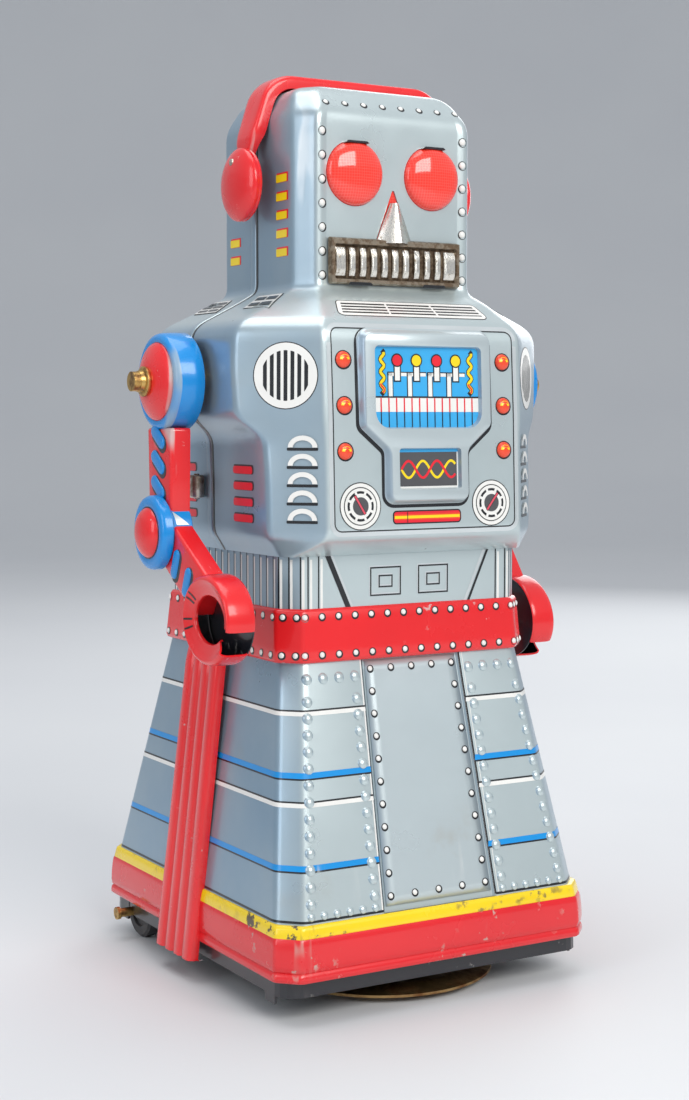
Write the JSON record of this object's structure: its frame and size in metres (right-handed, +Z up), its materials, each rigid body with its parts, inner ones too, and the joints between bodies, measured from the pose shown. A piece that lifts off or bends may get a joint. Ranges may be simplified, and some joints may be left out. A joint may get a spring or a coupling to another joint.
{
  "type": "wind-up robot",
  "caption": "Stamped tin wind-up robot with box head, red eye domes, swinging claw arms and a flared skirt on a driven turntable.",
  "frame": {"origin": "on the floor under the middle of the base", "axes": "+Z up, the robot faces -Y, its right arm is at -X"},
  "size_m": [0.15, 0.131, 0.2819],
  "materials": {
    "blue_grey_tin": "metallic litho print under clear lacquer",
    "red_tin": "gloss red enamel with edge chips",
    "rim_tin": "gloss red with a yellow top line",
    "belt_tin": "gloss red with printed rivets",
    "blue_tin": "gloss blue enamel",
    "arm_tin": "gloss red with blue printed slots",
    "claw_tin": "gloss red outside, black inside",
    "black_tin": "worn black enamel",
    "red_lens": "clear red sheet",
    "bare_metal": "tarnished nickel on tin",
    "gold_tin": "golden lacquered tin with rust",
    "brass": "dull brass",
    "steel": "plain steel",
    "spring_steel": "blued spring steel",
    "wheel_rubber": "hard dark rubber"
  },
  "bodies": {
    "robot": {"front_body_shell": "blue_grey_tin", "rear_body_shell": "blue_grey_tin", "front_skirt": "blue_grey_tin", "rear_skirt": "blue_grey_tin", "hatch_panel": "blue_grey_tin", "waist_band": "blue_grey_tin", "belt": "belt_tin", "base_rim": "rim_tin", "base_pan": "black_tin", "side_strip_right": "red_tin", "side_strip_left": "red_tin", "face_lens": "red_lens", "mouth_plate": "bare_metal", "headband": "red_tin", "ear_cap_right": "red_tin", "ear_cap_left": "red_tin", "seam_clip": "bare_metal", "shoulder_bushes": "brass", "motor_plate_right": "steel", "motor_plate_left": "steel", "motor_pillars": "steel", "turntable_bridge": "steel", "rod_guide": "steel", "mainspring": "spring_steel", "axle_brackets": "steel"},
    "right_arm": {"arm_outer_right": "arm_tin", "arm_inner_right": "red_tin", "shoulder_ring_right": "blue_tin", "shoulder_cone_right": "red_tin", "elbow_ring_right": "blue_tin", "elbow_dome_right": "red_tin", "claw_right": "claw_tin", "arm_nut_right": "brass", "arm_shaft_right": "brass"},
    "left_arm": {"arm_outer_left": "arm_tin", "arm_inner_left": "red_tin", "shoulder_ring_left": "blue_tin", "shoulder_cone_left": "red_tin", "elbow_ring_left": "blue_tin", "elbow_dome_left": "red_tin", "claw_left": "claw_tin", "arm_nut_left": "brass", "arm_shaft_left": "brass"},
    "lift": {"lift_rod": "steel"},
    "winder": {"winding_arbor": "steel", "winding_key": "steel"},
    "great_gear": {"great_wheel": "brass"},
    "click_pawl": {"click": "steel"},
    "second_gear": {"second_wheel": "brass"},
    "third_gear": {"third_wheel": "brass"},
    "escape_gear": {"escape_wheel": "brass"},
    "governor": {"pallet": "steel"},
    "crank": {"crank_wheel": "brass"},
    "upright_shaft": {"drive_shaft": "steel"},
    "turntable": {"turntable_disc": "gold_tin", "turntable_yoke": "steel"},
    "driving_wheel": {"drive_axle": "steel", "drive_wheel": "wheel_rubber"},
    "rear_axle_set": {"rear_axle": "brass", "rear_wheels": "wheel_rubber"}
  },
  "joints": [
    {"name": "right_arm_swing", "type": "hinge", "parent": "robot", "child": "right_arm", "pos_m": [-0.055, -0.005, 0.187], "axis": [1, 0, 0], "range_deg": [-4, 26]},
    {"name": "left_arm_swing", "type": "hinge", "parent": "robot", "child": "left_arm", "pos_m": [0.055, -0.005, 0.187], "axis": [1, 0, 0], "range_deg": [-26, 4]},
    {"name": "lift_slide", "type": "slide", "parent": "robot", "child": "lift", "axis": [0, 0, 1], "range_m": [-0.007, 0.0012]},
    {"name": "second_wheel_turn", "type": "hinge", "parent": "robot", "child": "second_gear", "pos_m": [0, 0.0005, 0.04472], "axis": [1, 0, 0], "continuous": true},
    {"name": "great_wheel_turn", "type": "hinge", "parent": "robot", "child": "great_gear", "pos_m": [0, 0.027, 0.056], "axis": [1, 0, 0], "continuous": true},
    {"name": "winding_turn", "type": "hinge", "parent": "robot", "child": "winder", "pos_m": [0, 0.027, 0.056], "axis": [1, 0, 0], "continuous": true},
    {"name": "click_lift", "type": "hinge", "parent": "great_gear", "child": "click_pawl", "pos_m": [-0.01, 0.038, 0.056], "axis": [1, 0, 0], "range_deg": [-14, 0]},
    {"name": "third_wheel_turn", "type": "hinge", "parent": "robot", "child": "third_gear", "pos_m": [0, -0.026, 0.056], "axis": [1, 0, 0], "continuous": true},
    {"name": "escape_wheel_turn", "type": "hinge", "parent": "robot", "child": "escape_gear", "pos_m": [0, -0.026, 0.0752], "axis": [1, 0, 0], "continuous": true},
    {"name": "governor_rock", "type": "hinge", "parent": "robot", "child": "governor", "pos_m": [0, -0.026, 0.0878], "axis": [1, 0, 0], "range_deg": [-5, 5]},
    {"name": "crank_turn", "type": "hinge", "parent": "robot", "child": "crank", "pos_m": [0, 0.0005, 0.06552], "axis": [1, 0, 0], "continuous": true},
    {"name": "upright_shaft_turn", "type": "hinge", "parent": "robot", "child": "upright_shaft", "pos_m": [0, -0.026, 0.04], "axis": [0, 0, 1], "continuous": true},
    {"name": "turntable_yaw", "type": "hinge", "parent": "robot", "child": "turntable", "pos_m": [0, -0.026, 0.02], "axis": [0, 0, 1], "continuous": true},
    {"name": "driving_wheel_turn", "type": "hinge", "parent": "turntable", "child": "driving_wheel", "pos_m": [0.01, -0.026, 0.009], "axis": [1, 0, 0], "continuous": true},
    {"name": "rear_axle_turn", "type": "hinge", "parent": "robot", "child": "rear_axle_set", "pos_m": [0, 0.047, 0.009], "axis": [1, 0, 0], "continuous": true}
  ],
  "couplings": [
    {"joint": "left_arm_swing", "follows": "right_arm_swing", "ratio": -1},
    {"joint": "lift_slide", "follows": "right_arm_swing", "m_per_rad": -0.015},
    {"joint": "great_wheel_turn", "follows": "second_wheel_turn", "ratio": -0.2},
    {"joint": "winding_turn", "follows": "second_wheel_turn", "ratio": -0.2},
    {"joint": "third_wheel_turn", "follows": "second_wheel_turn", "ratio": -5},
    {"joint": "escape_wheel_turn", "follows": "second_wheel_turn", "ratio": 25},
    {"joint": "crank_turn", "follows": "second_wheel_turn", "ratio": -0.3},
    {"joint": "upright_shaft_turn", "follows": "second_wheel_turn", "ratio": -15},
    {"joint": "driving_wheel_turn", "follows": "second_wheel_turn", "ratio": 6.6667}
  ]
}
